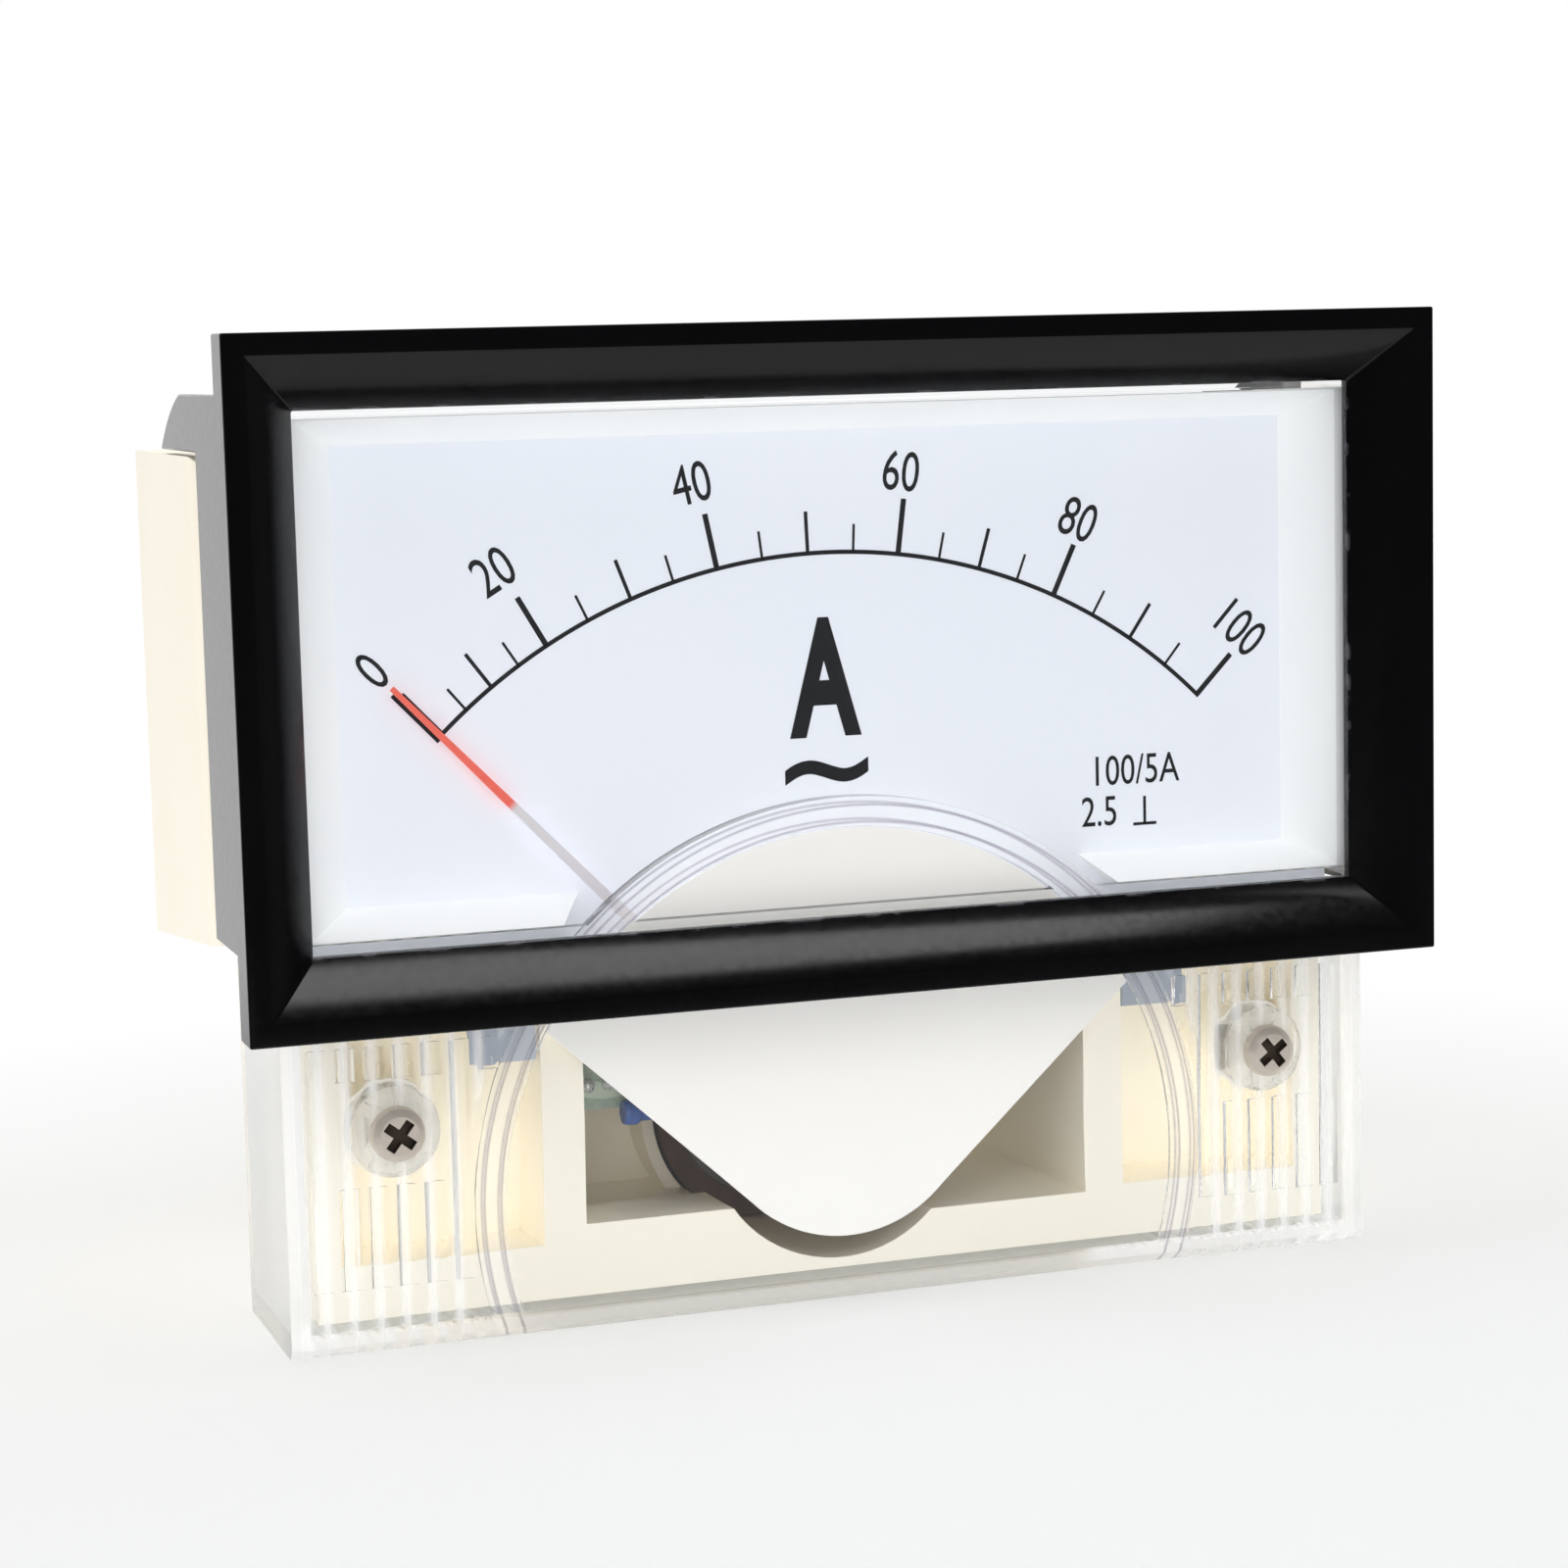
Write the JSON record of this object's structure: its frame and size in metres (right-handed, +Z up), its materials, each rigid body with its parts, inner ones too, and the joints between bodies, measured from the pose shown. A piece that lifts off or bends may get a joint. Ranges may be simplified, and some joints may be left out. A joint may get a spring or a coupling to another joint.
{
  "type": "analog panel meter",
  "caption": "Rectangular moving-coil panel meter with a wide dial window, clear fluted front cover, black bezel with side arms, and rear stud terminals.",
  "frame": {"origin": "centre of the panel cut-out, in the plane where the bezel flange's back face rests on the panel", "axes": "+X to the right as the dial is read, +Y into the panel towards the terminals, +Z up"},
  "size_m": [0.08, 0.053, 0.0636],
  "materials": {
    "black_bezel": "gloss black moulding",
    "clear_cover": "clear polystyrene moulding",
    "zinc_screw": "zinc-plated screw",
    "white_surround": "satin white moulding",
    "dial_paint": "matt white dial sheet",
    "shield_white": "satin white moulding",
    "cream_housing": "cream moulding",
    "pointer_red": "thin painted strip",
    "hub_aluminium": "pressed sheet",
    "weight_brass": "wound wire weight",
    "coil_copper": "enamelled wire winding",
    "former_aluminium": "thin sheet",
    "spindle_steel": "polished spindle",
    "spring_bronze": "spring strip",
    "magnet_ferrite": "sintered magnet",
    "soft_iron": "soft iron",
    "strap_brass": "strip",
    "jewel_brass": "turned screw",
    "arm_steel": "pressed lever",
    "board_laminate": "laminate board",
    "diode_black": "moulded body",
    "resistor_blue": "lacquered body",
    "solder": "solder",
    "core_steel": "stacked steel",
    "bobbin_plastic": "moulded bobbin",
    "lead_red": "insulated lead",
    "strap_copper": "copper strap",
    "stud_brass": "threaded stud",
    "washer_zinc": "plated washer"
  },
  "bodies": {
    "housing": {"bezel_frame": "black_bezel", "clear_cover": "clear_cover", "cover_screws": "zinc_screw", "dial_surround": "white_surround", "dial_plate": "dial_paint", "movement_shield": "shield_white", "base_housing": "cream_housing", "front_hairspring": "spring_bronze", "rear_hairspring": "spring_bronze", "magnet_ring": "magnet_ferrite", "pole_pieces": "soft_iron", "iron_core": "soft_iron", "core_strap": "strap_brass", "front_bridge": "strap_brass", "bridge_posts": "strap_brass", "bridge_screws": "zinc_screw", "front_jewel_screw": "jewel_brass", "pointer_stops": "spindle_steel", "rear_bridge": "strap_brass", "rear_bridge_screws": "zinc_screw", "rear_jewel_screw": "jewel_brass", "rectifier_board": "board_laminate", "board_screw": "zinc_screw", "rectifier_diodes": "diode_black", "shunt_resistor": "resistor_blue", "solder_joints": "solder", "transformer_core": "core_steel", "transformer_bobbin": "bobbin_plastic", "transformer_winding": "coil_copper", "transformer_screws": "zinc_screw", "transformer_leads": "lead_red", "movement_leads": "solder", "terminal_straps": "strap_copper", "terminal_studs": "stud_brass", "terminal_washers": "washer_zinc", "terminal_nuts": "stud_brass"},
    "moving_element": {"pointer": "pointer_red", "pointer_hub": "hub_aluminium", "balance_weights": "weight_brass", "moving_coil": "coil_copper", "coil_former": "former_aluminium", "front_spindle": "spindle_steel", "rear_spindle": "spindle_steel"},
    "zero_adjuster": {"zero_adjust_arm": "arm_steel"}
  },
  "joints": [
    {"name": "pointer_swing", "type": "hinge", "parent": "housing", "child": "moving_element", "pos_m": [0, 0.0132, -0.031], "axis": [0, 1, 0], "range_deg": [-2, 90], "stiffness_Nm_per_rad": 0.00002, "deforming": ["front_hairspring", "rear_hairspring"]},
    {"name": "zero_adjust", "type": "hinge", "parent": "housing", "child": "zero_adjuster", "pos_m": [0, 0.0068, -0.031], "axis": [0, 1, 0], "range_deg": [-8, 8]}
  ]
}
